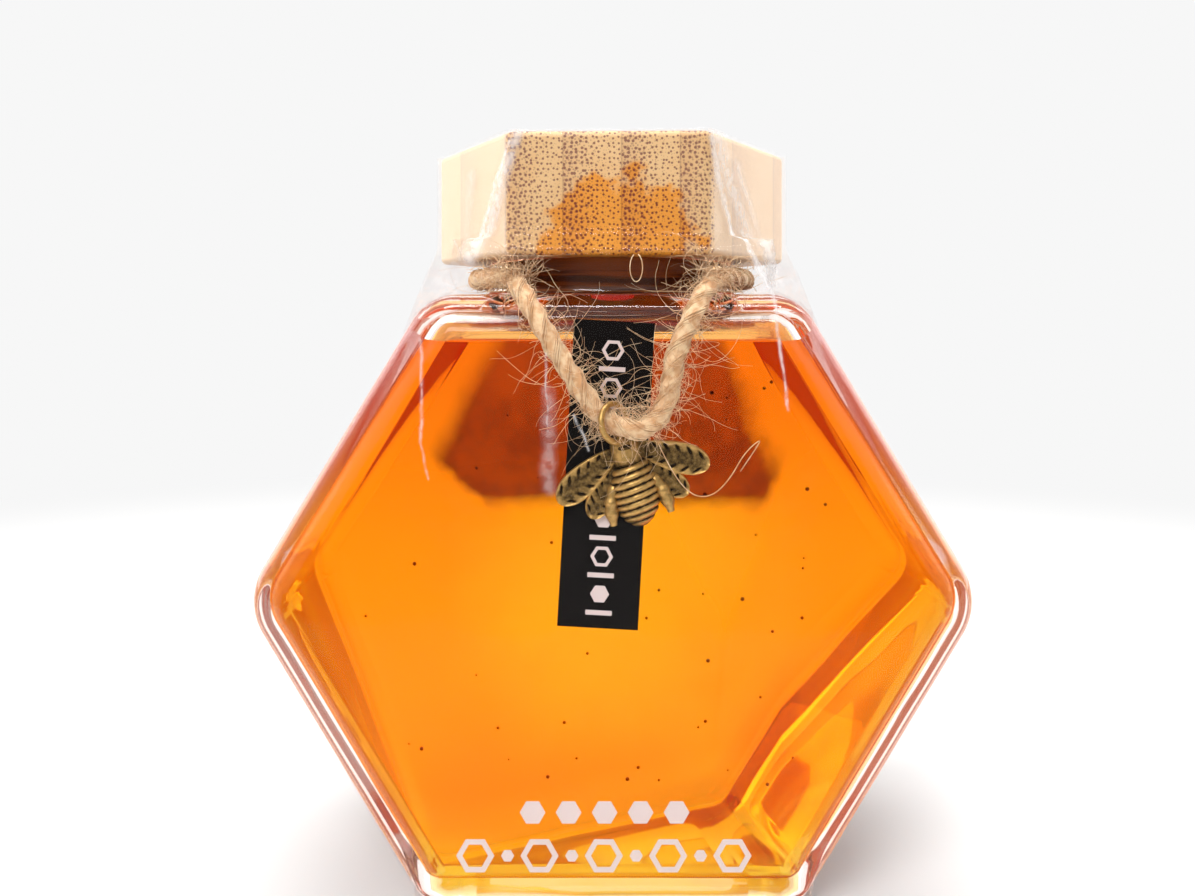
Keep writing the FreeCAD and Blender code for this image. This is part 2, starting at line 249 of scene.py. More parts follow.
def b_spline(points, steps):
    """Quadratic B-spline that starts and ends at the end points, with a number of steps to each piece."""
    line = []
    count = len(points)
    middles = [points[0]] + [(a + b) / 2 for a, b in zip(points[1:-2], points[2:-1])] + [points[-1]]
    for k in range(count - 2):
        start, control, end = middles[k], points[k + 1], middles[k + 1]
        for s in range(steps):
            t = s / steps
            line.append(start * (1 - t) ** 2 + control * 2 * t * (1 - t) + end * t * t)
    return line + [points[-1]]


# ---------------------------------------------------------------- materials

def ended(tree, shader):
    """Ends a light path that has met too many surfaces with a warm glow. A look: real glass has none."""
    depth = put(tree, "LightPath").outputs["Ray Depth"]
    warm = put(tree, "Emission", {"Color": rgb(226, 120, 14), "Strength": 0.8}).outputs[0]
    too_many = calc(tree, "GREATER_THAN", depth, RAY_LIMIT)
    return put(tree, "MixShader", {0: too_many, 1: shader, 2: warm}).outputs[0]


def glass_material():
    """Clear glass. Its inner faces and its flat front shine less, its rim is painted with a warm pink light,
    and its neck is tinted.
    """
    material, tree, out = new_material("clear_glass")
    place, x, y, z = place_mm(tree)
    from_waist = calc(tree, "ABSOLUTE", calc(tree, "SUBTRACT", z, BASE + BODY_HEIGHT / 2))
    beside = calc(tree, "MULTIPLY_ADD", from_waist, 1 / math.tan(SIDE_SLOPE), calc(tree, "ABSOLUTE", x))
    outer_face = calc(tree, "GREATER_THAN", calc(tree, "ABSOLUTE", y), BODY_DEPTH / 2 - WALL / 2)
    outer_side = calc(tree, "GREATER_THAN", beside, BODY_WIDTH / 2 - MID_WALL_BESIDE)
    bare = calc(tree, "MAXIMUM", outer_face, outer_side)
    above_honey = calc(tree, "GREATER_THAN", z, HONEY_LEVEL)
    wetted = calc(tree, "MULTIPLY", above_honey, calc(tree, "LESS_THAN", z, SHOULDER - 1))
    wetted = calc(tree, "MULTIPLY", wetted, calc(tree, "SUBTRACT", 1.0, bare))
    bare = calc(tree, "MAXIMUM", bare, above_honey)
    bare = calc(tree, "MAXIMUM", bare, calc(tree, "LESS_THAN", z, 2.5))
    waves = put(tree, "TexNoise", {"Vector": place, "Scale": 0.07, "Detail": 1.0}).outputs[0]
    bump = put(tree, "Bump", {"Height": waves, "Strength": calc(tree, "MULTIPLY", bare, 0.25),
                              "Distance": 0.0008}).outputs[0]
    panel = calc(tree, "LESS_THAN", y, GLASS_FRONT + 0.02)
    rim = ramp(tree, beside, BODY_WIDTH / 2 - 5.0, BODY_WIDTH / 2 - 2.0)
    shown = calc(tree, "MULTIPLY", bare, calc(tree, "MULTIPLY_ADD", panel, -0.85, 1.0))
    on_neck = ramp(tree, z, SHOULDER + 0.8, SHOULDER + 1.4)
    shown = calc(tree, "MULTIPLY", shown, calc(tree, "MULTIPLY_ADD", on_neck, -0.7, 1.0))
    # The rim's pink tint is painted warm light, standing in for the light seen in the glass's edges
    tint = mix(tree, rim, rgb(253, 247, 244), rgb(252, 226, 214))
    tint = mix(tree, wetted, tint, rgb(240, 182, 98))
    tint = mix(tree, on_neck, tint, rgb(246, 214, 166))
    shader = put(tree, "BsdfPrincipled", {
        "Base Color": tint, "Roughness": 0.0, "IOR": 1.5, "Transmission Weight": 1.0,
        "Specular Tint": mix(tree, shown, (0, 0, 0, 1), (1, 1, 1, 1)), "Normal": bump})
    tree.links.new(ended(tree, shader.outputs[0]), out.inputs[0])
    return material


# Edges of the painted shadow of the lid on the upper part of the honey's front: it is where a x + b z + c is
# above 0, softly
SHADE_EDGES = (
    (0.90, -0.44, 50.0, 2.0),
    (-0.92, -0.386, 45.0, 2.0),
    (0.7, 0.7, -27.6, 0.9),
    (-0.93, 0.36, -0.7, 0.9),
    (0.0, 1.0, -57.2, 1.5),
)


def honey_material():
    """Clear honey that takes up light along its depth. Its front has a painted shadow of the lid below the
    neck, a look; it is also painted darker toward the top, with a painted glow in its middle and near its
    base.
    """
    material, tree, out = new_material("honey")
    place, x, y, z = place_mm(tree)
    wobble = put(tree, "TexNoise", {"Vector": place, "Scale": 0.16, "Detail": 3.0}).outputs[0]
    shift = calc(tree, "MULTIPLY", calc(tree, "SUBTRACT", wobble, 0.5), 4.0)
    sx = calc(tree, "ADD", x, shift)
    sz = calc(tree, "ADD", z, calc(tree, "MULTIPLY", shift, 0.7))

    # Painted shadow of the lid on the honey's front, below the neck
    shade = ramp(tree, y, -19.0, -20.5)
    for a, b, c, soft in SHADE_EDGES:
        value = calc(tree, "MULTIPLY_ADD", sx, a, calc(tree, "MULTIPLY_ADD", sz, b, c))
        shade = calc(tree, "MULTIPLY", shade, ramp(tree, value, -soft, soft))
    # Darkness within the painted shadow: darker lower down and in cloudy patches
    deep = ramp(tree, z, 80.0, 60.0)
    deep = calc(tree, "MULTIPLY_ADD", wobble, 0.35, calc(tree, "MULTIPLY", deep, 0.65))
    cloud = put(tree, "TexNoise", {"Vector": place, "Scale": 0.3, "Detail": 4.0}).outputs[0]
    deep = calc(tree, "SUBTRACT", deep, 0.3)
    deep = calc(tree, "MULTIPLY_ADD", ramp(tree, cloud, 0.3, 0.7), 0.6, deep, clamp=True)
    shade_colour = mix(tree, deep, (0.20, 0.034, 0.1, 1), (0.07, 0.008, 0.1, 1))
    # Painted glow: a bright yellow patch in the middle of the honey, where light comes through it from
    # behind
    across = calc(tree, "MULTIPLY_ADD", x, 1 / 27.0, -4.0 / 27.0)
    up = calc(tree, "MULTIPLY_ADD", z, 1 / 26.0, -42.0 / 26.0)
    spread = squares(tree, across, up)
    glow = ramp(tree, calc(tree, "MULTIPLY_ADD", wobble, 0.5, spread), 1.45, 0.1)
    # Painted glow in a band near the base of the honey
    painted_glow_near_base = ramp(tree, z, 13.0, 7.0)
    glow = calc(tree, "MAXIMUM", glow, painted_glow_near_base)
    # Painted shade: the honey is painted a darker orange toward its top
    plain = mix(tree, ramp(tree, z, 45.0, 80.0), (1.0, 0.70, 0.1, 1), (0.86, 0.42, 0.1, 1))
    plain = mix(tree, glow, plain, (1.0, 0.96, 0.2, 1))
    colour = mix(tree, shade, plain, shade_colour)
    shader = put(tree, "BsdfPrincipled", {
        "Base Color": colour, "Roughness": 0.0, "IOR": 1.49, "Transmission Weight": 1.0,
        "Specular Tint": (0, 0, 0, 1)})
    absorb = put(tree, "VolumeAbsorption", {"Color": (0.99, 0.80, 0.0, 1), "Density": 110.0})
    tree.links.new(ended(tree, shader.outputs[0]), out.inputs["Surface"])
    tree.links.new(absorb.outputs[0], out.inputs["Volume"])
    return material


def bamboo_material():
    """Bamboo strips side by side. Their fibres run front to back, so front and back show dots.

    A pale painted reflection of the film's glare lies over the wood, stronger on the sides than on the front
    and back. A patch on the front, where the film lies against the wood, is left without it and painted
    warmer.
    """
    material, tree, out = new_material("bamboo")
    place, x, y, z = place_mm(tree)
    across = calc(tree, "MULTIPLY_ADD", x, 1 / STRIP_WIDTH, 4.86)
    index = calc(tree, "FLOOR", across)
    along = calc(tree, "FRACT", across)
    odd = put(tree, "TexWhiteNoise", {"W": index}, noise_dimensions="1D").outputs["Value"]
    stretched = put(tree, "VectorMath", {0: place, 1: (1.0, 0.03, 1.0)}, operation="MULTIPLY").outputs[0]
    aside = calc(tree, "MULTIPLY", odd, 37.0)
    moved = put(tree, "CombineXYZ", {0: aside, 2: calc(tree, "MULTIPLY", odd, 91.0)})
    fibres = put(tree, "VectorMath", {0: stretched, 1: moved.outputs[0]}, operation="ADD").outputs[0]
    crowd = ramp(tree, along, 0.0, 0.9)
    ends = put(tree, "CombineXYZ", {0: calc(tree, "MULTIPLY_ADD", odd, 37.0, x), 1: z}).outputs[0]
    cells = put(tree, "TexVoronoi", {"Vector": ends, "Scale": 1.35, "Randomness": 0.7},
                voronoi_dimensions="2D").outputs["Distance"]
    small = put(tree, "TexVoronoi", {"Vector": ends, "Scale": 2.1, "Randomness": 0.9},
                voronoi_dimensions="2D").outputs["Distance"]
    size = put(tree, "MapRange", {"Value": crowd, "To Min": 0.29, "To Max": 0.20}).outputs[0]
    dot = ramp(tree, calc(tree, "SUBTRACT", cells, size), 0.05, -0.05)
    size_small = put(tree, "MapRange", {"Value": crowd, "To Min": 0.30, "To Max": 0.12}).outputs[0]
    dot_small = ramp(tree, calc(tree, "SUBTRACT", small, size_small), 0.05, -0.05)
    dots = calc(tree, "MAXIMUM", dot, calc(tree, "MULTIPLY", dot_small, 0.5))
    cut_across = ramp(tree, calc(tree, "ABSOLUTE", y), LID_FACE - 1.4, LID_FACE - 0.9)
    dots = calc(tree, "MULTIPLY", dots, calc(tree, "MULTIPLY_ADD", cut_across, 0.85, 0.15))
    patches = put(tree, "TexNoise", {"Vector": fibres, "Scale": 0.35, "Detail": 4.0}).outputs[0]
    pale = mix(tree, patches, rgb(240, 200, 142), rgb(230, 176, 106))
    pale = mix(tree, calc(tree, "MULTIPLY", odd, 0.25), pale, rgb(214, 168, 104))
    pale = mix(tree, calc(tree, "MULTIPLY", ramp(tree, along, 0.6, 0.0), 0.35), pale, rgb(196, 138, 78))
    seam = calc(tree, "MAXIMUM", ramp(tree, along, 0.03, 0.0), ramp(tree, along, 0.975, 1.0))
    colour = mix(tree, dots, pale, rgb(128, 62, 14))
    colour = mix(tree, calc(tree, "MULTIPLY", seam, 0.35), colour, rgb(140, 84, 38))
    # A patch low on the front where the painted glare is left out and the wood is painted warmer
    clear_x = calc(tree, "MULTIPLY", calc(tree, "ADD", x, -1.0), 1 / 11.0)
    clear_z = calc(tree, "MULTIPLY", calc(tree, "ADD", z, -91.0), 1 / 11.5)
    clear = squares(tree, clear_x, clear_z)
    edge = put(tree, "TexNoise", {"Vector": place, "Scale": 0.24, "Detail": 3.0}).outputs[0]
    clear = calc(tree, "MULTIPLY_ADD", edge, 2.2, clear)
    glare_free_patch = calc(tree, "MULTIPLY", ramp(tree, clear, 2.25, 1.95), ramp(tree, y, -10.0, -20.0))
    tinted = mix(tree, 0.95, colour, rgb(255, 205, 84), blend="MULTIPLY")
    # Painted reflection: the film's pale glare mixed into the wood's colour, more on the sides
    painted_glare = mix(tree, calc(tree, "MULTIPLY_ADD", cut_across, -0.22, 0.32), colour, rgb(244, 226, 210))
    colour = mix(tree, glare_free_patch, painted_glare, tinted)
    bump = put(tree, "Bump", {"Height": dots, "Strength": 0.25, "Distance": -0.0001}).outputs[0]
    shader = put(tree, "BsdfPrincipled", {
        "Base Color": colour, "Roughness": 0.42, "Coat Weight": 0.1, "Coat Roughness": 0.3, "Normal": bump})
    tree.links.new(shader.outputs[0], out.inputs[0])
    return material


def jute_material():
    material, tree, out = new_material("jute")
    place = place_mm(tree)[0]
    tone = put(tree, "TexNoise", {"Vector": place, "Scale": 0.8, "Detail": 2.0}).outputs[0]
    colour = mix(tree, ramp(tree, tone, 0.35, 0.65), rgb(220, 168, 118), rgb(248, 214, 170))
    shader = put(tree, "BsdfPrincipled", {"Base Color": colour, "Roughness": 0.75, "Sheen Weight": 0.3})
    tree.links.new(shader.outputs[0], out.inputs[0])
    return material


def bronze_material():
    """Antique bronze: bright where it is rubbed, dark in the recesses."""
    material, tree, out = new_material("antique_bronze")
    place = place_mm(tree)[0]
    hollow = put(tree, "Attribute", attribute_name="rub").outputs["Fac"]
    grime = put(tree, "TexNoise", {"Vector": place, "Scale": 1.8, "Detail": 5.0}).outputs[0]
    worn = calc(tree, "MULTIPLY_ADD", calc(tree, "SUBTRACT", grime, 0.5), 0.9, hollow)
    rubbed = ramp(tree, worn, 0.12, 1.08)
    colour = mix(tree, rubbed, rgb(40, 27, 12), rgb(210, 168, 100))
    rough = put(tree, "MapRange", {"Value": rubbed, "To Min": 0.65, "To Max": 0.38}).outputs[0]
    shader = put(tree, "BsdfPrincipled", {"Base Color": colour, "Metallic": 0.85, "Roughness": rough})
    tree.links.new(shader.outputs[0], out.inputs[0])
    return material


def plain_material(name, colour, roughness, **more):
    material, tree, out = new_material(name)
    inputs = {"Base Color": colour, "Roughness": roughness}
    inputs.update(more)
    shader = put(tree, "BsdfPrincipled", inputs)
    tree.links.new(shader.outputs[0], out.inputs[0])
    return material


# Painted highlights along the film's creases, each from one point to another in X and Z, with a width and a
# strength
CREASE_HIGHLIGHTS = (
    ((-13.2, 108.4), (-15.4, 101.8), 1.5, 0.5),
    ((-15.4, 101.8), (-19.3, 91.0), 1.8, 0.5),
    ((-14.4, 107.0), (-19.6, 93.5), 0.5, 0.6),
    ((-21.0, 104.0), (-22.6, 92.0), 1.4, 0.25),
    ((13.4, 108.2), (15.6, 98.5), 1.0, 0.5),
    ((15.6, 98.5), (20.2, 87.0), 0.55, 0.75),
    ((14.4, 107.6), (22.5, 88.0), 2.2, 0.4),
    ((18.0, 105.0), (24.5, 90.0), 1.2, 0.3),
    ((17.0, 95.0), (21.6, 84.5), 0.5, 0.5),
    ((21.6, 84.5), (23.4, 70.5), 0.4, 0.6),
    ((-26.2, 80.0), (-26.0, 66.0), 0.4, 0.35),
    ((-26.0, 66.0), (-25.0, 61.0), 0.3, 0.25),
    ((-8.6, 73.0), (-8.5, 60.5), 1.5, 0.22),
    ((-8.9, 78.0), (-8.7, 68.0), 0.35, 0.4),
    ((-5.2, 70.0), (-3.4, 65.5), 0.35, 0.35),
)


def film_material():
    """Clear film: bare except for its shine and a little white haze along its creases, which is painted
    highlight.
    """
    material, tree, out = new_material("clear_film")
    place, x, y, z = place_mm(tree)
    drift = put(tree, "TexNoise", {"Vector": place, "Scale": 0.2, "Detail": 2.0}).outputs[0]
    waver = calc(tree, "MULTIPLY", calc(tree, "SUBTRACT", drift, 0.5), 1.4)
    wx = calc(tree, "ADD", x, waver)
    total = None
    for (x0, z0), (x1, z1), width, strength in CREASE_HIGHLIGHTS:
        dx, dz = x1 - x0, z1 - z0
        length2 = dx * dx + dz * dz
        rx = calc(tree, "SUBTRACT", wx, x0)
        rz = calc(tree, "SUBTRACT", z, z0)
        part_z = calc(tree, "MULTIPLY", rz, dz / length2)
        share = calc(tree, "ADD", calc(tree, "MULTIPLY", rx, dx / length2), part_z, clamp=True)
        gap_x = calc(tree, "SUBTRACT", rx, calc(tree, "MULTIPLY", share, dx))
        gap_z = calc(tree, "SUBTRACT", rz, calc(tree, "MULTIPLY", share, dz))
        gap = calc(tree, "SQRT", squares(tree, gap_x, gap_z))
        line = ramp(tree, gap, width, 0.0, 0.0, strength)
        total = line if total is None else calc(tree, "MAXIMUM", total, line)
    total = calc(tree, "MULTIPLY", total, ramp(tree, y, -8.0, -14.0))
    gaps = put(tree, "TexNoise", {"Vector": place, "Scale": 0.9, "Detail": 2.0}).outputs[0]
    broken = ramp(tree, gaps, 0.35, 0.6)
    total = calc(tree, "MULTIPLY", total, calc(tree, "MULTIPLY_ADD", broken, 0.6, 0.4))
    fresnel = put(tree, "Fresnel", {"IOR": 1.45}).outputs[0]
    wrinkle = put(tree, "TexNoise", {"Vector": place, "Scale": 0.22, "Detail": 4.0}).outputs[0]
    bump = put(tree, "Bump", {"Height": wrinkle, "Strength": 0.6, "Distance": 0.001}).outputs[0]
    clear = put(tree, "BsdfTransparent", {"Color": (0.985, 0.985, 0.985, 1)}).outputs[0]
    shine = put(tree, "BsdfGlossy", {"Color": (1, 1, 1, 1), "Roughness": 0.09, "Normal": bump}).outputs[0]
    # White haze along the creases: painted highlights
    haze = put(tree, "BsdfDiffuse", {"Color": (0.93, 0.9, 0.9, 1)}).outputs[0]
    body = put(tree, "MixShader", {0: calc(tree, "MULTIPLY", fresnel, 0.14), 1: clear, 2: shine}).outputs[0]
    film = put(tree, "MixShader", {0: total, 1: body, 2: haze}).outputs[0]
    tree.links.new(film, out.inputs[0])
    return material


def stopper_material():
    """Dark warm brown, partly honey residue and partly painted shade inside the neck, with lighter bands
    round it that are painted reflections of the neck's glass.
    """
    material, tree, out = new_material("dark_stopper")
    place = place_mm(tree)[0]
    level = put(tree, "VectorMath", {0: place, 1: (0.05, 0.05, 1.0)}, operation="MULTIPLY").outputs[0]
    # Lighter horizontal bands: painted reflections of the neck's glass
    bands = put(tree, "TexNoise", {"Vector": level, "Scale": 0.9, "Detail": 3.0}).outputs[0]
    colour = mix(tree, ramp(tree, bands, 0.42, 0.62), rgb(104, 44, 8), rgb(186, 112, 44))
    shader = put(tree, "BsdfPrincipled", {"Base Color": colour, "Roughness": 0.5})
    tree.links.new(shader.outputs[0], out.inputs[0])
    return material


GLASS = glass_material()
HONEY = honey_material()
BAMBOO = bamboo_material()
JUTE = jute_material()
BRONZE = bronze_material()
FILM = film_material()
STOPPER_BROWN = stopper_material()
BLACK = plain_material("black_label", rgb(14, 10, 9), 0.6, **{"Specular IOR Level": 0.06})
PALE_INK = plain_material("pale_ink", rgb(226, 206, 202), 0.5)

CAD_LOOKS = {"glass_jar": GLASS, "bamboo_lid": BAMBOO, "stopper": STOPPER_BROWN, "strip_label": BLACK}
for node, material in CAD_LOOKS.items():
    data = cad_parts[node].data
    data.materials.clear()
    data.materials.append(material)


# ---------------------------------------------------------------- honey

def make_honey():
    """The fill, let out a little at its base and sides so that it reaches into the glass."""
    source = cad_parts["honey"]
    bm = bmesh.new()
    bm.from_mesh(source.data)
    bmesh.ops.transform(bm, matrix=source.matrix_world, verts=bm.verts)
    bmesh.ops.remove_doubles(bm, verts=bm.verts, dist=1e-6)
    bm.normal_update()
    grown = {}
    for vert in bm.verts:
        grown[vert] = vert.co + vert.normal * INTO_WALL * MM
    for vert, place in grown.items():
        top = vert.co.z > (HONEY_LEVEL - 0.01) * MM
        vert.co = Vector((place.x, place.y, vert.co.z if top else place.z))
    mesh = bpy.data.meshes.new("honey_fill")
    bm.to_mesh(mesh)
    bm.free()
    mesh.shade_smooth()
    mesh.set_sharp_from_angle(angle=math.radians(35))
    fill = add_object("honey_fill", mesh, HONEY, "honey")
    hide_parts("honey")


def make_bubbles():
    """Small bubbles and specks in the honey, near the front."""
    rng = random.Random(11)
    bm = bmesh.new()
    for _ in range(BUBBLES):
        z = rng.uniform(14, 74)
        reach = BODY_WIDTH / 2 - abs(z - BODY_HEIGHT / 2) / math.tan(SIDE_SLOPE) - 11
        place = Vector((rng.uniform(-reach, reach), -rng.uniform(14.0, 20.6), z))
        bmesh.ops.create_icosphere(bm, subdivisions=2, radius=rng.uniform(0.12, 0.3),
                                   matrix=Matrix.Translation(place))
    air, tree, out = new_material("bubble_air")
    shader = put(tree, "BsdfPrincipled", {"Base Color": rgb(190, 90, 20), "Roughness": 0.1})
    tree.links.new(shader.outputs[0], out.inputs[0])
    add_object("bubbles", mesh_of("bubbles", bm), air, "honey")


# ---------------------------------------------------------------- twine

def make_twine():
    """Curve of the twine's core."""
    curve = bpy.data.curves.new("twine_core", "CURVE")
    curve.dimensions = "3D"
    curve.resolution_u = 12
    curve.bevel_depth = TWINE_CORE / 2 * MM
    curve.bevel_resolution = 4
    curve.use_fill_caps = True
    spline = curve.splines.new("NURBS")
    spline.points.add(len(TWINE_ROUTE) - 1)
    for point, place in zip(spline.points, TWINE_ROUTE):
        point.co = (place[0] * MM, place[1] * MM, place[2] * MM, 1)
    spline.order_u = 3
    spline.use_endpoint_u = True
    return curve


def strand_lines(line, count, radius, pitch, phase=0.0):
    """Lines twisted round a middle line."""
    frames = frames_along(line)
    travelled = 0.0
    strands = [[] for _ in range(count)]
    for k, point in enumerate(line):
        if k:
            travelled += (point - line[k - 1]).length
        for s in range(count):
            a = 2 * math.pi * (travelled / pitch + s / count) + phase
            strands[s].append(point + (frames[k][1] * math.cos(a) + frames[k][2] * math.sin(a)) * radius)
    return strands


def make_strands(line):
    """Three plies of fine yarns laid round the core."""
    noise.seed_set(NOISE_SEED)
    tubes = Tubes(6)
    for ply in strand_lines(line, PLIES, PLY_OFFSET, PLY_PITCH):
        for yarn in strand_lines(ply, YARNS, YARN_OFFSET, YARN_PITCH, phase=0.4):
            rng = random.Random(len(tubes.points))
            shift = Vector((rng.random() * 90, 0, 0))
            loose = [p + noise.noise_vector(p * 0.45 + shift) * 0.16 for p in yarn]
            tubes.add(loose, [0.105 + 0.05 * noise.noise(p * 0.9 + shift) for p in yarn])
    return tubes.mesh("twine_strands")


def fibre(start, direction, length, curl, rng, steps=14):
    """A loose fibre that wanders and curls from where it leaves the twine."""
    line = [start.copy()]
    heading = direction.normalized()
    bend = Vector((rng.gauss(0, 1), rng.gauss(0, 1) * 0.5, rng.gauss(0, 1)))
    step = length / steps
    for _ in range(steps):
        bend += Vector((rng.gauss(0, 1), rng.gauss(0, 1) * 0.5, rng.gauss(0, 1))) * 0.5
        heading = (heading + bend * curl * step).normalized()
        nxt = line[-1] + heading * step
        keep_clear(nxt)
        line.append(nxt)
    return line


def keep_clear(point):
    """Holds a fibre's point between the glass and the film."""
    if point.z < SHOULDER - 3:
        point.y = min(max(point.y, -30.3), -25.35)
    elif point.z < SHOULDER + 0.3:
        point.y = max(point.y, -29.5)
        if point.y > -23.0:
            point.z = SHOULDER + 0.3
    point.z = min(point.z, LID_BASE - 0.15) if point.y > -24.8 else min(point.z, LID_BASE + 3)
    if point.y < -24.6 and point.z > LID_BASE - 0.5:
        point.y = -25.3


# Middle line of the one long fibre that curls over the front of the honey
LONG_FIBRE = (
    (5.5, -28.0, 67.0), (7.5, -27.2, 62.5), (10.5, -26.2, 58.7), (13.4, -25.8, 58.6),
    (15.8, -25.7, 61.0), (17.8, -25.6, 64.6), (20.2, -25.6, 66.6), (19.0, -25.6, 64.6),
    (17.2, -25.6, 62.0),
)


def make_fuzz(line):
    """Loose fibres along the front of the twine, two frayed tufts, a small loop and one long fibre."""
    rng = random.Random(5)
    tubes = Tubes(3)
    frames = frames_along(line)
    count = FIBRES
    shown = [k for k, p in enumerate(line) if p.y < -12]
    for n in range(count):
        k = rng.choice(shown)
        a = rng.uniform(0, 2 * math.pi)
        out = frames[k][1] * math.cos(a) + frames[k][2] * math.sin(a)
        start = line[k] + out * TWINE_DIAMETER * 0.46
        heading = out * 0.9 + frames[k][0] * rng.uniform(-0.9, 0.9)
        length = rng.uniform(1.2, 4.5) if n % 5 else rng.uniform(5.0, 12.0)
        path = fibre(start, heading, length, rng.uniform(0.15, 0.75), rng)
        width = rng.uniform(0.03, 0.055)
        tubes.add(path, [width * (1 - 0.6 * i / len(path)) for i in range(len(path))])
    for side in (-1, 1):
        root = Vector((14.0 if side > 0 else -13.6, -21.9, 88.9))
        for _ in range(TUFT_FIBRES):
            heading = Vector((side * rng.uniform(-0.9, 1.2), -rng.uniform(0.0, 1.0), rng.uniform(-0.8, 0.8)))
            start = root + Vector((rng.uniform(-2.4, 2.4), rng.uniform(-1.5, 1.5), rng.uniform(-1.2, 1.0)))
            path = fibre(start, heading, rng.uniform(2.0, 7.0), 0.3, rng)
            tubes.add(path, [0.05] * len(path))
    loop = [Vector((3.1 + 0.85 * math.sin(a), -25.5, 89.6 + 1.9 * math.cos(a))) for a in
            [0.3 + 5.6 * k / 16 for k in range(17)]]
    tubes.add(loop, [0.09] * len(loop))
    long_fibre = b_spline([Vector(p) for p in LONG_FIBRE], 5)
    tubes.add(long_fibre, [0.08] * len(long_fibre))
    return tubes.mesh("twine_fuzz")


def make_knot():
    """Four turns of twine drawn tight round a plain middle that joins both ends."""
    tubes = Tubes(8)
    turns = []
    steps = 4 * KNOT_STEPS
    for k in range(steps + 1):
        a = 2 * math.pi * k / KNOT_STEPS
        x = -KNOT_SPAN / 2 + KNOT_SPAN * k / steps
        y = LOOP_BACK + KNOT_TURN_RADIUS * math.cos(a)
        turns.append(Vector((x, y, LOOP_Z + KNOT_TURN_RADIUS * math.sin(a))))
    tubes.add(turns, [0.55] * len(turns))
    tubes.add([Vector((x, LOOP_BACK, LOOP_Z)) for x in (-2.2, 0, 2.2)], [1.3] * 3)
    return tubes.mesh("knot_turns")


def build_twine():
    """Adds every piece of the twine. Gives them back with the length of its middle line in metres."""
    line = b_spline([Vector(p) for p in TWINE_ROUTE], 14)
    length = sum((b - a).length for a, b in zip(line, line[1:]))
    core = add_object("twine_core", make_twine(), JUTE, "jute")
    strands = add_object("twine_strands", make_strands(line), JUTE, "jute")
    fuzz = add_object("twine_fuzz", make_fuzz(line), JUTE, "jute")
    knot = add_object("knot_turns", make_knot(), JUTE, "jute")
    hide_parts("twine")
    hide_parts("twine_knot")
    return core, strands, fuzz, knot, length * MM


# ---------------------------------------------------------------- bee charm

def bee_place(points):
    """From the charm's own frame to the row frame."""
    turn = Matrix.Rotation(-CHARM_TILT, 3, "Y")
    return [turn @ Vector(p) + CHARM_MIDDLE for p in points]


def lathe_body(profile, sides, flat, start):
    """Round body about the Z axis, cut flat behind. The profile is (radius, z, rub) from top to bottom.

    Rub says how bare the bronze is rubbed: 1 on a ridge, 0 in a hollow.
    """
    points, faces, rubs = [], [], []
    for radius, z, rub in profile:
        for k in range(sides):
            a = 2 * math.pi * k / sides
            y = min(radius * math.sin(a) * flat, 0)
            points.append((radius * math.cos(a) + start[0], y + start[1], z + start[2]))
            rubs.append(rub * (0.35 + 0.65 * min(1, -y / (0.45 * radius + 1e-6))))
    for row in range(len(profile) - 1):
        for k in range(sides):
            a = row * sides + k
            b = row * sides + (k + 1) % sides
            faces.append((a, a + sides, b + sides, b))
    faces.append(tuple(range(sides)))
    faces.append(tuple(reversed(range((len(profile) - 1) * sides, len(profile) * sides))))
    return points, faces, rubs


def wing_surface(length, width, root, droop, side):
    """Wing with a rounded raised rim, and slots along both edges of its sunken face."""
    points, faces, rubs = [], [], []
    columns, rows = 96, 34
    for i in range(columns + 1):
        u = i / columns
        half = max(0.02, 0.7 * width * u ** 0.5 * math.sqrt(1 - u ** 3.5))
        for j in range(rows + 1):
            v = -1 + 2 * j / rows
            rim = max(abs(v) ** 4, abs(2 * u - 1) ** 12)
            height = 0.5 + 0.42 * rim
            slot = 0.0
            if 0.2 < u < 0.92:
                beat = math.sin(2 * math.pi * (u * 6.5 + 1.1 * abs(v)))
                slot = math.exp(-((abs(v) - 0.62) / 0.19) ** 2) * max(beat, 0) ** 2
                height -= 0.28 * slot
            height += 0.04 * math.sin(9 * u + 5 * v)
            round_off = 1 - abs(v) ** 20
            points.append((u * length, -height * (0.25 + 0.75 * round_off), v * half))
            rubs.append(min(1, max(0, 0.42 + 0.9 * rim - 0.8 * slot)) * (0.4 + 0.6 * min(1, u / 0.3)))
    for i in range(columns):
        for j in range(rows):
            a = i * (rows + 1) + j
            faces.append((a, a + 1, a + rows + 2, a + rows + 1))
    count = len(points)
    points += [(x, -0.02, z) for x, y, z in points]
    rubs += [0.3] * count
    faces += [tuple(reversed([f + count for f in face])) for face in faces]
    border = [i * (rows + 1) for i in range(columns + 1)]
    border += [columns * (rows + 1) + j for j in range(1, rows + 1)]
    border += [i * (rows + 1) + rows for i in range(columns - 1, -1, -1)]
    border += list(range(rows - 1, 0, -1))
    for a, b in zip(border, border[1:] + border[:1]):
        faces.append((b, a, a + count, b + count))
    cos, sin = math.cos(droop), math.sin(droop)
    placed = []
    for x, y, z in points:
        placed.append((side * (x * cos + z * sin + root[0]), y + root[1], -x * sin + z * cos + root[2]))
    if side < 0:
        faces = [tuple(reversed(f)) for f in faces]
    return placed, faces, rubs


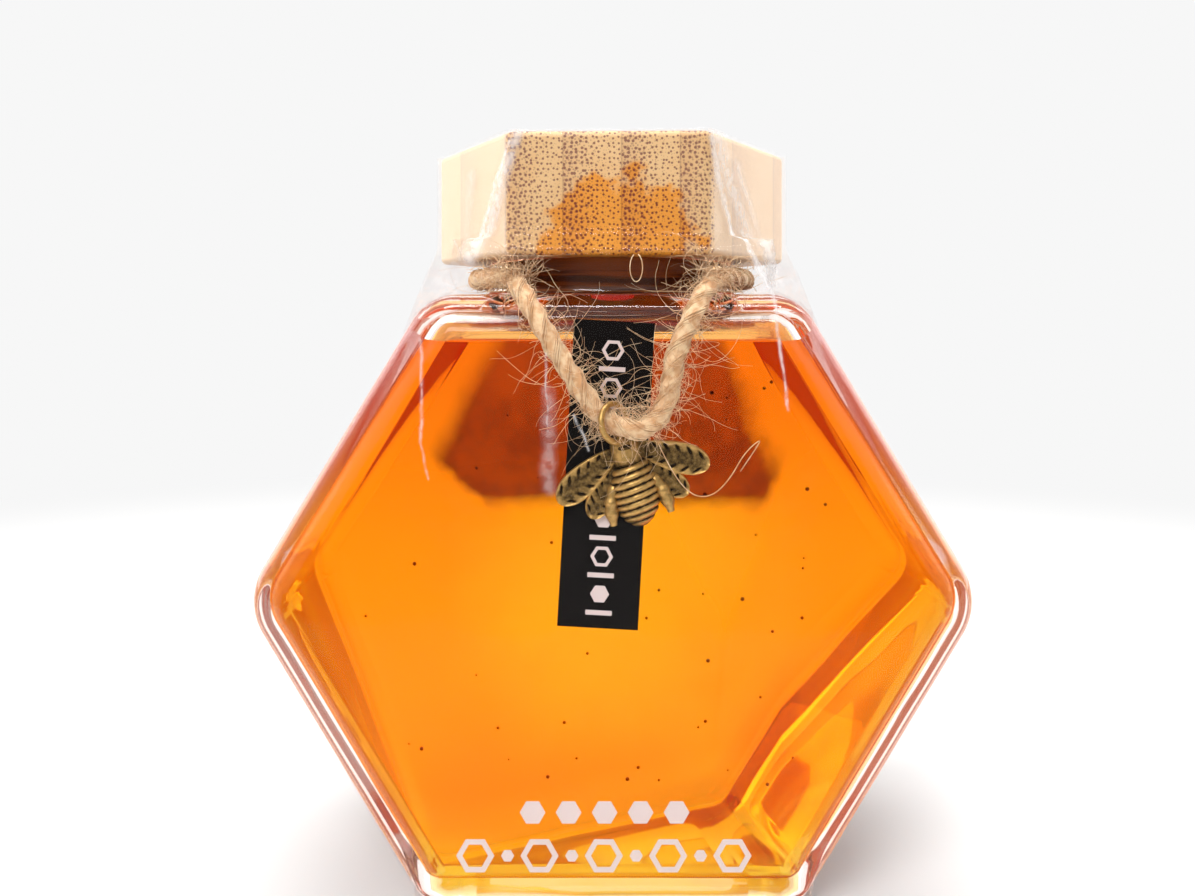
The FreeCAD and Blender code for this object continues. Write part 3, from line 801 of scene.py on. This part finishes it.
def make_bee():
    """The bee in one mesh: ringed abdomen, thorax, head, four wings, two legs, its eye and the ring."""
    points, faces, rubs = [], [], []

    def take(more_points, more_faces, more_rubs):
        first = len(points)
        points.extend(more_points)
        faces.extend(tuple(first + i for i in f) for f in more_faces)
        rubs.extend(more_rubs)

    def take_tubes(tubes, rub):
        take([(p.x, min(p.y, -0.02), p.z) for p in tubes.points], tubes.faces, [rub] * len(tubes.points))

    rings, length = 9, 8.6
    profile = []
    for k in range(rings * 12 + 1):
        t = k / (rings * 12)
        girth = 3.25 * math.sqrt(max(1 - (1.70 * t - 0.72) ** 2, 0.0))
        crest = abs(math.sin(math.pi * rings * t))
        ridge = 0.34 * crest ** 0.8 * min(1, 4 * (1.03 - t))
        profile.append((max(girth + ridge - 0.2, 0.25), -length * t, 0.12 + 0.85 * crest))
    body_points, body_faces, body_rubs = lathe_body(profile, 64, 0.92, (0, 0, -1.7))
    take([(x, y, z + 0.12 * x) for x, y, z in body_points], body_faces, body_rubs)

    block = []
    for k in range(25):
        t = k / 24
        girth = 1.95 * (1 - abs(2 * t - 1) ** 4) ** 0.3 + 0.2
        block.append((girth * (0.92 + 0.1 * t), 2.3 - 4.3 * t, 0.25 + 0.6 * math.sin(math.pi * t)))
    take(*lathe_body(block, 40, 1.15, (0, 0, 0)))
    crown = []
    for k in range(13):
        t = k / 12
        crown.append((1.15 * math.sqrt(max(1 - (2 * t - 1) ** 2, 0.001)), 0.55 - 1.1 * t, 0.3))
    take(*lathe_body(crown, 28, 0.9, (0, -1.55, 0.75)))

    for side in (-1, 1):
        take(*wing_surface(10.7, 4.3, (1.1, 0, 0.5), math.radians(28), side))
        take(*wing_surface(8.2, 3.6, (1.3, 0, -1.5), math.radians(48), side))
        leg = Tubes(14)
        path = b_spline([Vector((side * 2.6, -0.6, -4.2)), Vector((side * 3.4, -0.7, -5.6)),
                         Vector((side * 3.9, -0.7, -7.4)), Vector((side * 4.0, -0.62, -9.3))], 12)
        radii = []
        for k in range(len(path)):
            t = k / (len(path) - 1)
            swell = 0.78 + 0.2 * math.sin(math.pi * min(t * 1.05, 1)) + 0.1 * math.sin(t * 19)
            radii.append(swell * (0.55 + 0.45 * min(1, 6 * (1.02 - t))))
        leg.add(path, radii)
        take_tubes(leg, 0.75)
    neck = Tubes(12)
    eye = [Vector((0, -1.0, 1.4)), Vector((-0.25, -1.7, 2.0)), Vector((-0.45, -2.3, 2.1))]
    neck.add(eye, [0.7, 0.55, 0.4])
    take_tubes(neck, 0.5)
    ring = Tubes(12)
    turn = Matrix.Rotation(RING_TURN, 3, "Z")
    circle = [RING_MIDDLE + turn @ Vector((RING_RADIUS * math.cos(a), 0, RING_RADIUS * math.sin(a)))
              for a in [2 * math.pi * k / 48 for k in range(49)]]
    ring.add(circle, [RING_WIRE] * len(circle))
    take_tubes(ring, 0.85)
    mesh = mesh_from("bee", bee_place(points), faces)
    mesh.set_sharp_from_angle(angle=math.radians(50))
    mesh.attributes.new("rub", "FLOAT", "POINT").data.foreach_set("value", rubs)
    bee = add_object("bee", mesh, BRONZE, "antique_bronze")
    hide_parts("bee_charm")
    return bee


# ---------------------------------------------------------------- marks

def flat_shape(bm, corners, y, thickness=0.03):
    """Thin plate facing the front, from its corners in X and Z."""
    near = [bm.verts.new((x, y - thickness, z)) for x, z in corners]
    far = [bm.verts.new((x, y, z)) for x, z in corners]
    bm.faces.new(near)
    bm.faces.new(list(reversed(far)))
    count = len(corners)
    for k in range(count):
        n = (k + 1) % count
        bm.faces.new((near[n], near[k], far[k], far[n]))


def hexagon(x, z, radius):
    angles = [math.pi * k / 3 for k in range(6)]
    return [(x + radius * math.cos(a), z + radius * math.sin(a)) for a in angles]


def bar(x, z, width, height):
    return [(x - width / 2, z - height / 2), (x + width / 2, z - height / 2),
            (x + width / 2, z + height / 2), (x - width / 2, z + height / 2)]


def ring_marks(bm, x, z, radius, wall, y):
    """Hexagonal outline made of six bars."""
    outer = hexagon(x, z, radius)
    inner = hexagon(x, z, radius - wall)
    for k in range(6):
        n = (k + 1) % 6
        flat_shape(bm, [inner[k], outer[k], outer[n], inner[n]], y)


def make_glass_print():
    """Two rows of plain shapes printed on the lower front of the glass."""
    bm = bmesh.new()
    face = GLASS_FRONT - PRINT_LIFT
    upper, lower = 15.5, 9.6
    upper_pitch, lower_pitch = 4.9, 8.75
    for k in range(5):
        flat_shape(bm, hexagon(-11.0 + k * upper_pitch, upper, 1.75), face)
    for k in range(5):
        ring_marks(bm, -18.8 + k * lower_pitch, lower, 2.6, 0.85, face)
    for k in range(4):
        flat_shape(bm, hexagon(-14.4 + k * lower_pitch, lower, 0.9), face)
    add_object("glass_print", mesh_of("glass_print", bm, smooth=False), PALE_INK, "clear_glass")


def make_label_print():
    """Column of plain shapes down the strip label."""
    bm = bmesh.new()
    y = LABEL_FRONT - 0.005
    for k, kind in enumerate("rbrb.....hbrbhb"):
        z = -3.2 - k * 2.55
        if kind == "r":
            ring_marks(bm, 0, z, 1.55, 0.5, y)
        elif kind == "b":
            flat_shape(bm, bar(0, z, 3.6, 0.65), y)
        elif kind == "h":
            flat_shape(bm, hexagon(0, z, 1.3), y)
    tilt = Matrix.Rotation(LABEL_LEAN, 3, "Y")
    pivot = Vector((0, 0, -LABEL_HALF))
    for vert in bm.verts:
        vert.co = tilt @ (vert.co - pivot) + pivot + Vector((LABEL_LEFT, 0, SHOULDER - LABEL_TOP))
    add_object("label_print", mesh_of("label_print", bm, smooth=False), PALE_INK, "black_label")


# ---------------------------------------------------------------- film

def body_reach(direction, z, grow):
    """How far out the wrapped body reaches in a level direction at a height, or 0 above it."""
    above = z - BASE
    if above < -0.3 or above > BODY_HEIGHT + grow:
        return 0.0
    wide = BODY_WIDTH / 2 - abs(above - BODY_HEIGHT / 2) / math.tan(SIDE_SLOPE) + grow / math.sin(SIDE_SLOPE)
    wide = min(wide, CORNER_REACH + grow)
    deep = BODY_DEPTH / 2 + grow
    for edge in (above, BODY_HEIGHT - above):
        if edge < EDGE_RADIUS:
            drop = EDGE_RADIUS - math.sqrt(max(EDGE_RADIUS ** 2 - (EDGE_RADIUS - max(edge, 0)) ** 2, 0))
            deep -= drop
            wide -= drop * 0.5
    power = 9.0
    x, y = abs(direction.x) / wide, abs(direction.y) / deep
    return 1.0 / (x ** power + y ** power) ** (1 / power)


def lid_reach(direction, grow):
    """How far out the lid's hexagon reaches in a level direction."""
    a = math.atan2(direction.y, direction.x) - LID_TURN
    flat = (LID_SIDE + 1.15 * grow) * math.cos(math.radians(30))
    part = (a % (math.pi / 3)) - math.pi / 6
    return flat / math.cos(part)


def tent_lift(x, z):
    """How far the twine and the charm hold the film off the front of the glass."""
    across = max(0.0, 1 - (abs(x - 1.5) / TENT_HALF_WIDTH) ** 2)
    if z < 64:
        up = max(0.0, (z - 30) / 34.0)
        up = up * up * (3 - 2 * up)
    else:
        up = 1 - 0.22 * (z - 64) / 22.0
    return 5.7 * across * max(up, 0.0)


def film_ring(z):
    """Points of the film round the jar at one height."""
    ring = []
    for k in range(FILM_COLUMNS):
        a = 2 * math.pi * k / FILM_COLUMNS
        d = Vector((math.cos(a), math.sin(a), 0))
        reach = body_reach(d, z, FILM_GAP)
        if z >= TAUT_HIGH:
            reach = lid_reach(d, FILM_GAP)
        elif z > TAUT_LOW:
            t = (z - TAUT_LOW) / (TAUT_HIGH - TAUT_LOW)
            taut = body_reach(d, TAUT_LOW, FILM_GAP) * (1 - t) + lid_reach(d, FILM_GAP) * t
            reach = max(reach, taut)
            if z > LID_BASE - 0.5:
                reach = max(reach, lid_reach(d, FILM_GAP))
        point = d * reach
        if point.y < 0 and z < TAUT_HIGH:
            fade = 1.0 if z < LID_BASE else max(0.0, 1 - (z - LID_BASE) / 3.0)
            room = BODY_DEPTH / 2 + FILM_GAP + tent_lift(point.x, z) * fade
            facing = abs(point.y) > 0.8 * BODY_DEPTH / 2 or abs(point.x) < 22
            if facing and abs(point.x) < TENT_HALF_WIDTH:
                point.y = min(point.y, -room)
        ripple = 0.12 * noise.noise(Vector((point.x, point.y, z)) * 0.16)
        point += d * (ripple + 0.05)
        ring.append(Vector((point.x, point.y, z)))
    return ring


def make_film():
    """The film as one closed skin: rings up the sides, and smaller rings that close the top and the base."""
    count = FILM_COLUMNS
    levels = [0.04, 0.3, 0.8, 1.6, 2.6, 3.8, 5.2]
    levels += [5.2 + 1.4 * k for k in range(1, 58)]
    levels += [85.5, 86.4, 87.2, 88.0, 89.0, 90.0, 90.6, 91.3, 92.2, 93.4]
    levels += [93.4 + 1.2 * k for k in range(1, 12)] + [LID_TOP - 0.6, LID_TOP + 0.1]
    levels = sorted(set(levels))
    points, faces = [], []
    for z in levels:
        points += film_ring(z)
    rows = len(levels)
    top_ring = points[(rows - 1) * count:rows * count]
    for share in (0.93, 0.7, 0.4, 0.1):
        points += [Vector((p.x * share, p.y * share, LID_TOP + 0.25)) for p in top_ring]
    total = rows + 4
    for share in (0.9, 0.6, 0.2):
        points += [Vector((p.x * share, p.y * share, 0.02)) for p in points[:count]]
    for row in range(total - 1):
        for k in range(count):
            n = (k + 1) % count
            faces.append((row * count + k, row * count + n, (row + 1) * count + n, (row + 1) * count + k))
    below = [0, total, total + 1, total + 2]
    for upper, lower in zip(below, below[1:]):
        for k in range(count):
            n = (k + 1) % count
            faces.append((lower * count + k, lower * count + n, upper * count + n, upper * count + k))
    faces.append(tuple(range((total - 1) * count, total * count)))
    faces.append(tuple(reversed(range((total + 2) * count, (total + 3) * count))))
    film = add_object("film", mesh_from("film", points, faces), FILM, "clear_film")
    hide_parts("film_wrap")


# ---------------------------------------------------------------- build

make_honey()
make_bubbles()
core, strands, fuzz, knot, twine_length = build_twine()
bee = make_bee()
make_glass_print()
make_label_print()
make_film()


# ---------------------------------------------------------------- stage, light and camera

def stage_material():
    """Pale floor that takes the jar's shadow, and merges into the white surroundings further off."""
    material, tree, out = new_material("stage")
    place, _, y, _ = place_mm(tree)
    far = put(tree, "VectorMath", {0: place}, operation="LENGTH").outputs["Value"]
    paint = put(tree, "BsdfDiffuse", {"Color": (0.80, 0.79, 0.78, 1)}).outputs[0]
    seen = put(tree, "LightPath").outputs["Is Camera Ray"]
    strength = put(tree, "Mix", {0: seen, 2: BACK_LIGHT, 3: SEEN_WHITE}, data_type="FLOAT").outputs[0]
    white = put(tree, "Emission", {"Strength": strength}).outputs[0]
    merge = calc(tree, "MAXIMUM", ramp(tree, far, 110.0, 420.0), ramp(tree, y, -90.0, -140.0))
    merged = put(tree, "MixShader", {0: merge, 1: paint, 2: white}).outputs[0]
    tree.links.new(merged, out.inputs[0])
    return material


FLOOR_REACH = 4.0         # metres to the sides and behind
FLOOR_FRONT = -0.16       # metres, where the floor ends


def make_stage():
    """Floor that ends in front of the jar, so that its face reflects nothing bright."""
    bm = bmesh.new()
    bmesh.ops.create_grid(bm, x_segments=2, y_segments=2, size=FLOOR_REACH)
    for vert in bm.verts:
        vert.co.y = max(vert.co.y, FLOOR_FRONT)
    mesh = bpy.data.meshes.new("floor")
    bm.to_mesh(mesh)
    bm.free()
    add_object("floor", mesh, stage_material())


def area_light(name, place, target, width, height, power):
    """Flat light of a width and a height in metres, turned to a target."""
    data = bpy.data.lights.new(name, "AREA")
    data.shape = "RECTANGLE"
    data.size = width
    data.size_y = height
    data.energy = power
    made = bpy.data.objects.new(name, data)
    bpy.context.scene.collection.objects.link(made)
    made.location = place
    made.rotation_euler = (Vector(target) - Vector(place)).to_track_quat("-Z", "Y").to_euler()


make_stage()
MIDDLE = (0, 0, 0.06)
area_light("left_box", (-0.52, 0.34, 0.16), MIDDLE, 0.34, 0.6, 1.0)
area_light("right_box", (0.52, 0.34, 0.16), MIDDLE, 0.34, 0.6, 1.0)
area_light("top_strip", (0.0, -0.05, 0.75), MIDDLE, 0.6, 0.10, 3.0)
area_light("front_box", (-0.3, -0.7, 0.75), MIDDLE, 0.5, 0.4, 6.0)


def make_world():
    """White all round to the eye. Its light comes more from behind the jar and above than from the front."""
    world = bpy.data.worlds.new("studio")
    world.use_nodes = True
    tree = world.node_tree
    background = tree.nodes["Background"]
    background.inputs[0].default_value = (1, 1, 1, 1)
    direction = put(tree, "TexCoord").outputs["Generated"]
    toward = put(tree, "SeparateXYZ", {0: direction})
    lit = ramp(tree, toward.outputs[1], -0.35, 0.35, 0.5, BACK_LIGHT)
    lit = calc(tree, "MAXIMUM", lit, ramp(tree, toward.outputs[2], 0.35, 0.9, 0.0, 0.8))
    seen = put(tree, "LightPath").outputs["Is Camera Ray"]
    strength = put(tree, "Mix", {0: seen, 2: lit, 3: SEEN_WHITE}, data_type="FLOAT").outputs[0]
    tree.links.new(strength, background.inputs[1])
    bpy.context.scene.world = world


make_world()

# A near, level camera. The shift brings the base into the picture
LENS = 31.1
SHIFT_UP = -0.104
EYE = (-2.16, -165.5, 82.0)

camera_data = bpy.data.cameras.new("camera")
camera_data.lens = LENS
camera_data.sensor_width = 36.0
camera_data.shift_y = SHIFT_UP
camera_data.clip_start = 0.005
camera_data.clip_end = 20
camera = bpy.data.objects.new("camera", camera_data)
bpy.context.scene.collection.objects.link(camera)
camera.location = [c * MM for c in EYE]
camera.rotation_euler = (math.radians(90.0), 0, 0)
bpy.context.scene.camera = camera

scene = bpy.context.scene
scene.view_settings.view_transform = "Standard"
scene.cycles.max_bounces = 16
scene.cycles.diffuse_bounces = 2
scene.cycles.transmission_bounces = 16
scene.cycles.transparent_max_bounces = 24
scene.cycles.glossy_bounces = 16
scene.cycles.sample_clamp_indirect = 4.0
scene.cycles.caustics_reflective = True
scene.cycles.caustics_refractive = True
